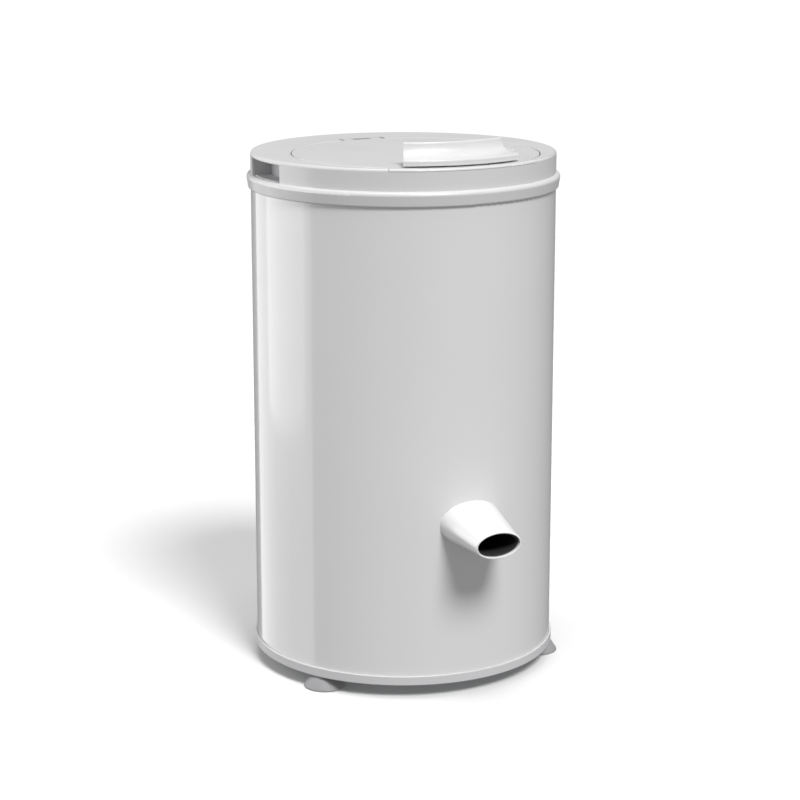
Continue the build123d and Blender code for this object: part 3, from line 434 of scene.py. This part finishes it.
# %% The other two feet
feet = [first_foot]
for name, degrees in (("foot_rear", REAR), ("foot_front_left", FRONT_LEFT)):
    other = first_foot.copy()
    other.data = first_foot.data.copy()
    other.name = name
    bpy.context.scene.collection.objects.link(other)
    there, here = place_of_foot(degrees), place_of_foot(FRONT_RIGHT)
    bpy.ops.object.select_all(action="DESELECT")
    other.select_set(True)
    bpy.context.view_layer.objects.active = other
    bpy.ops.transform.translate(value=(there[0] - here[0], there[1] - here[1], 0.0))
    bpy.ops.object.transform_apply(location=True, rotation=False, scale=False)
    feet.append(other)
for foot in feet:
    paint(foot, rubber)
    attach(foot, "chassis")
    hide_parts("feet")
print("feet", [foot.name for foot in feet])

# %% [markdown]
# The drain spout is one white moulding: a wide upright oval at the casing that narrows to a flat oval mouth with a
# thin rounded lip. It is a tube through a row of ovals. A circle is squeezed to the first oval, and each further oval
# is an extrusion of the last one, moved and resized.

# %% A tube through ovals
def oval_tube(name, ovals, count=72):
    """Ovals are (y, z, half width, half height); y is forward of the machine's axis."""
    def middle_of(oval):
        return Vector((0.0, AXIS_Y - oval[0] * MM, oval[1] * MM))

    bpy.ops.object.select_all(action="DESELECT")
    bpy.ops.mesh.primitive_circle_add(vertices=count, radius=MM, location=middle_of(ovals[0]),
                                      rotation=(math.pi / 2, 0.0, 0.0))
    piece = bpy.context.active_object
    piece.name = name
    open_mesh(piece, "EDGE")
    bpy.ops.mesh.select_all(action="SELECT")
    wide, tall = 1.0, 1.0
    middle = middle_of(ovals[0])
    for k, oval in enumerate(ovals):
        new_middle = middle_of(oval)
        if k:
            bpy.ops.mesh.extrude_region_move(TRANSFORM_OT_translate={"value": new_middle - middle})
        grow = (oval[2] / wide, 1.0, oval[3] / tall)
        bpy.ops.transform.resize(value=grow, center_override=new_middle)
        wide, tall, middle = oval[2], oval[3], new_middle
    return piece


# %% [markdown]
# The ovals follow the frame's own spout: its middle falls ten millimetres from the casing to the mouth, so that the
# water runs out. Four ovals make the outside, five close ones round the lip, and two go back in as the inside.

# %% The spout
SPOUT_Z = 195.0
outer = [(150.0, SPOUT_Z + 0.8, 38.2, 27.5), (176.0, SPOUT_Z - 2.7, 34.6, 23.6),
         (200.0, SPOUT_Z - 5.9, 30.8, 19.4), (226.0, SPOUT_Z - 9.5, 27.4, 15.3)]
lip = [(228.6, SPOUT_Z - 9.8, 27.2, 15.0), (229.6, SPOUT_Z - 9.9, 26.6, 14.4),
       (229.9, SPOUT_Z - 9.9, 25.8, 13.6), (229.5, SPOUT_Z - 9.9, 25.1, 12.9),
       (228.4, SPOUT_Z - 9.8, 24.9, 12.7)]
inner_wall = [(200.0, SPOUT_Z - 5.9, 28.4, 17.0), (150.0, SPOUT_Z + 0.8, 35.8, 25.1)]
spout = oval_tube("drain_spout", outer + lip + inner_wall)
bpy.ops.mesh.select_all(action="DESELECT")
bpy.ops.mesh.select_non_manifold()
bpy.ops.mesh.bridge_edge_loops()
close_mesh(spout, 40.0)

# %% [markdown]
# Behind, the spout has to sit on the round casing. It is cut with a cylinder of the casing's own radius, which leaves
# a root that follows the curved sheet exactly.

# %% Trimming the spout to the casing
bpy.ops.object.select_all(action="DESELECT")
bpy.ops.mesh.primitive_cylinder_add(vertices=360, radius=(CASING_R + 0.1) * MM, depth=0.2,
                                    location=(0.0, AXIS_Y, SPOUT_Z * MM))
boolean(spout, bpy.context.active_object, "DIFFERENCE")
open_mesh(spout)
close_mesh(spout, 40.0)
paint(spout, white)
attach(spout, "chassis")
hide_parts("spout")

# %% [markdown]
# Looking into the mouth one sees no white plastic but black. Part of it is the black rubber boot that joins tub and
# spout; the rest is painted shade: the boot is carried on as a black lining to just behind the lip, where the mouth's
# inside would only be dark from shadow. It closes down to the tub's outlet, so it is a second, smaller tube through
# ovals.

# %% The rubber boot and painted shade inside the spout
boot_and_shade_ovals = [(226.0, SPOUT_Z - 9.5, 24.6, 12.4), (226.4, SPOUT_Z - 9.5, 23.9, 11.7),
              (225.6, SPOUT_Z - 9.5, 23.2, 11.0), (200.0, SPOUT_Z - 6.6, 26.4, 15.0),
              (172.0, SPOUT_Z - 6.9, 24.0, 12.0), (156.0, SPOUT_Z - 7.0, 12.5, 12.3),
              (148.0, SPOUT_Z - 7.0, 12.2, 12.2)]
boot_and_shade_lining = oval_tube("drain_boot_and_shade_lining", boot_and_shade_ovals)
bpy.ops.mesh.select_all(action="SELECT")
bpy.ops.object.mode_set(mode="OBJECT")
BOOT_WALL = 0.6
apply(boot_and_shade_lining, "SOLIDIFY", thickness=BOOT_WALL * MM, offset=0.0)
open_mesh(boot_and_shade_lining)
close_mesh(boot_and_shade_lining, 50.0)
# Black lining up to the lip: the real rubber boot, and painted shade for the mouth's dark inside.
paint(boot_and_shade_lining, black)
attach(boot_and_shade_lining, "chassis")
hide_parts("drain_boot")

# %% [markdown]
# The latch handle is a curved ledge that follows the edge of the lid: a tread for the thumb, a hollow cove and an
# upright that is pushed sideways. Two outlines share the tread. One has the upright and stops short of the right
# end, the other is only the tread, and the two are joined.

# %% The handle's outline
TOE = 160.0
HEEL = 125.0
HANDLE_START = -116.0
RISER_SWEEP = 49.3
TREAD_SWEEP = 61.0
tread = [(HEEL, HANDLE_Z), (TOE, HANDLE_Z)] + arc(TOE - 2.2, HANDLE_Z + 4.2, 2.2, 0.0, 80.0)
tread += [(146.0, HANDLE_Z + 7.8)]
cove = [(142.4, HANDLE_Z + 9.4), (139.8, HANDLE_Z + 12.2), (138.2, HANDLE_Z + 15.6), (137.2, HANDLE_Z + 19.4)]
crest = arc(135.4, HANDLE_Z + 20.3, 1.7, 10.0, 170.0)
heel = [(131.6, HANDLE_Z + 9.2), (129.0, HANDLE_Z + 7.0), (HEEL, HANDLE_Z + 6.0), (HEEL, HANDLE_Z)]
with_upright = tread + cove + crest + heel
only_tread = tread + [(HEEL, HANDLE_Z + 6.0), (HEEL, HANDLE_Z)]
handle = turned("latch_grip", with_upright, start=HANDLE_START, sweep=RISER_SWEEP, steps=48)
ledge = turned("latch_ledge", only_tread, start=HANDLE_START, sweep=TREAD_SWEEP, steps=60)
boolean(handle, ledge, "UNION")
print("handle joined", len(handle.data.polygons))

# %% [markdown]
# The right end of the real moulding is flat and not square to the curve, so it is cut off straight with a block. The
# block is placed by the direction it faces and its distance from the machine's axis.

# %% The straight right end
END_CUT = 121.0
END_TURN = -26.0
BLOCK = Vector((80.0, 300.0, 40.0)) * MM
block_middle = spot((0.0, AXIS_Y), END_TURN, END_CUT + BLOCK.x / 2 / MM, HANDLE_Z + 15.0)
bpy.ops.object.select_all(action="DESELECT")
bpy.ops.mesh.primitive_cube_add(size=1.0, location=block_middle, rotation=(0.0, 0.0, math.radians(END_TURN)),
                                scale=BLOCK)
boolean(handle, bpy.context.active_object, "DIFFERENCE")
print("handle cut", len(handle.data.polygons))

# %% [markdown]
# Every edge of a moulding is a little round, because the mould is. A narrow bevel on the sharp edges gives the handle
# the fine bright lines that show its shape. Where the upright stops, a low rib goes on along the tread, so that a
# thumb feels where the handle ends. It gets its own bevel before it is joined, as it is too thin for the wide one.

# %% The handle's rounded edges and its rib
soften(handle, 0.7)
rib_outline = [(134.4, HANDLE_Z + 5), (137.2, HANDLE_Z + 5), (137.2, HANDLE_Z + 10.5), (134.4, HANDLE_Z + 10.5),
               (134.4, HANDLE_Z + 5)]
rib_start = HANDLE_START + RISER_SWEEP - 1.0
rib = turned("stop_rib", rib_outline, start=rib_start, sweep=TREAD_SWEEP - RISER_SWEEP, steps=12)
soften(rib, 0.5, segments=2)
boolean(handle, rib, "UNION")
open_mesh(handle)
close_mesh(handle, 38.0)
paint(handle, shell)
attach(handle, "latch")
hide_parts("latch_handle")

# %% [markdown]
# The casing is one sheet, rolled and closed behind with a folded lock seam: a flat ridge about eight millimetres
# wide that stands barely proud of the sheet. It is a strip spun through a few degrees on the casing's radius, with
# its two long edges softened.

# %% The folded seam behind
SEAM_IN, SEAM_OUT = CASING_R - 0.4, CASING_R + 0.9
SEAM_LOW, SEAM_HIGH = 30.0, 532.0
SEAM_START = 116.0
SEAM_SWEEP = 2.8
seam_outline = [(SEAM_IN, SEAM_LOW), (SEAM_OUT, SEAM_LOW), (SEAM_OUT, SEAM_HIGH), (SEAM_IN, SEAM_HIGH),
                (SEAM_IN, SEAM_LOW)]
seam = turned("casing_seam", seam_outline, start=SEAM_START, sweep=SEAM_SWEEP, steps=4)
soften(seam, 0.5)
open_mesh(seam)
close_mesh(seam, 30.0)
paint(seam, coat)
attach(seam, "chassis")

# %% [markdown]
# The camera stands about two and a half metres away, higher than the deck, and sees the machine 26 degrees round
# from its front. A long lens keeps the uprights nearly parallel.

# %% Camera
AROUND = math.radians(-26.0)
DOWN = math.radians(13.45)
ASIDE = math.radians(0.087)
AWAY = 2.422
EYE = 0.872
LENS = 99.31
eye = (AWAY * math.sin(AROUND), AXIS_Y - AWAY * math.cos(AROUND), EYE)
camera_data = bpy.data.cameras.new("camera")
camera_data.lens = LENS
camera = bpy.data.objects.new("camera", camera_data)
bpy.context.scene.collection.objects.link(camera)
camera.location = eye
camera.rotation_euler = (math.pi / 2 - DOWN, 0.0, AROUND + ASIDE)
bpy.context.scene.camera = camera
print("camera at", [round(v, 3) for v in eye])

# %% [markdown]
# The machine stands on a wide sheet of white paper that runs back past the view, so no horizon shows. It only has to
# be pale, dull and even. It throws no light back on the machine and isn't mirrored in its paint, so the sides keep
# the shading that the lamps give them.

# %% Floor
bpy.ops.object.select_all(action="DESELECT")
bpy.ops.mesh.primitive_plane_add(size=80.0, location=(0.0, 20.0, 0.0))
floor = bpy.context.active_object
floor.name = "floor"
paper = Finish("floor_paper", (0.93, 0.93, 0.93), 0.9)
paper.set("Base Color", paper.between(paper.noise(3.0), (0.925, 0.925, 0.925), (0.935, 0.935, 0.935)))
floor.data.materials.append(paper.material)
floor.visible_diffuse = False
floor.visible_glossy = False

# %% [markdown]
# Light comes from three sides, as in a small studio: a high soft lamp in front, which draws the spout's shadow down
# the casing and a bright line along every upper edge; a tall softbox on the left, whose reflection makes the long
# pale band; and a bright room that fills the rest.

# %% Lamps
def window(name, place, size, power, aim):
    """An area lamp at a place, turned so that it shines at a point."""
    data = bpy.data.lights.new(name, "AREA")
    data.shape = "RECTANGLE"
    data.size, data.size_y = size
    data.energy = power
    lamp = bpy.data.objects.new(name, data)
    bpy.context.scene.collection.objects.link(lamp)
    lamp.location = place
    lamp.rotation_euler = (Vector(place) - Vector(aim)).to_track_quat("Z", "Y").to_euler()
    return lamp


middle = (0.0, AXIS_Y, 0.32)
window("left_window", (-1.9, 1.35, 0.75), (2.0, 2.2), 18.0, middle)
softbox = window("left_softbox", (-1.75, 1.70, -0.10), (3.6, 3.0), 50.0, (0.0, AXIS_Y, -0.10))
softbox.visible_diffuse = False


def far_lamp(name, toward, strength, softness):
    """A lamp so far away that its light is the same everywhere; toward points to it."""
    data = bpy.data.lights.new(name, "SUN")
    data.energy = strength
    data.angle = math.radians(softness)
    lamp = bpy.data.objects.new(name, data)
    bpy.context.scene.collection.objects.link(lamp)
    lamp.rotation_euler = Vector(toward).to_track_quat("Z", "Y").to_euler()


far_lamp("front_lamp", (0.02, -0.64, 0.77), 2.4, 20.0)
far_lamp("ceiling_lamp", (-0.05, -0.02, 1.0), 0.85, 30.0)

# %% [markdown]
# The rest of the room is plain white and even, and colours are shown as they are, with no film look on top.

# %% The room
world = bpy.data.worlds.new("room")
world.use_nodes = True
world.node_tree.nodes["Background"].inputs["Color"].default_value = (1.0, 1.0, 1.0, 1.0)
world.node_tree.nodes["Background"].inputs["Strength"].default_value = 0.30
bpy.context.scene.world = world
bpy.context.scene.view_settings.view_transform = "Standard"
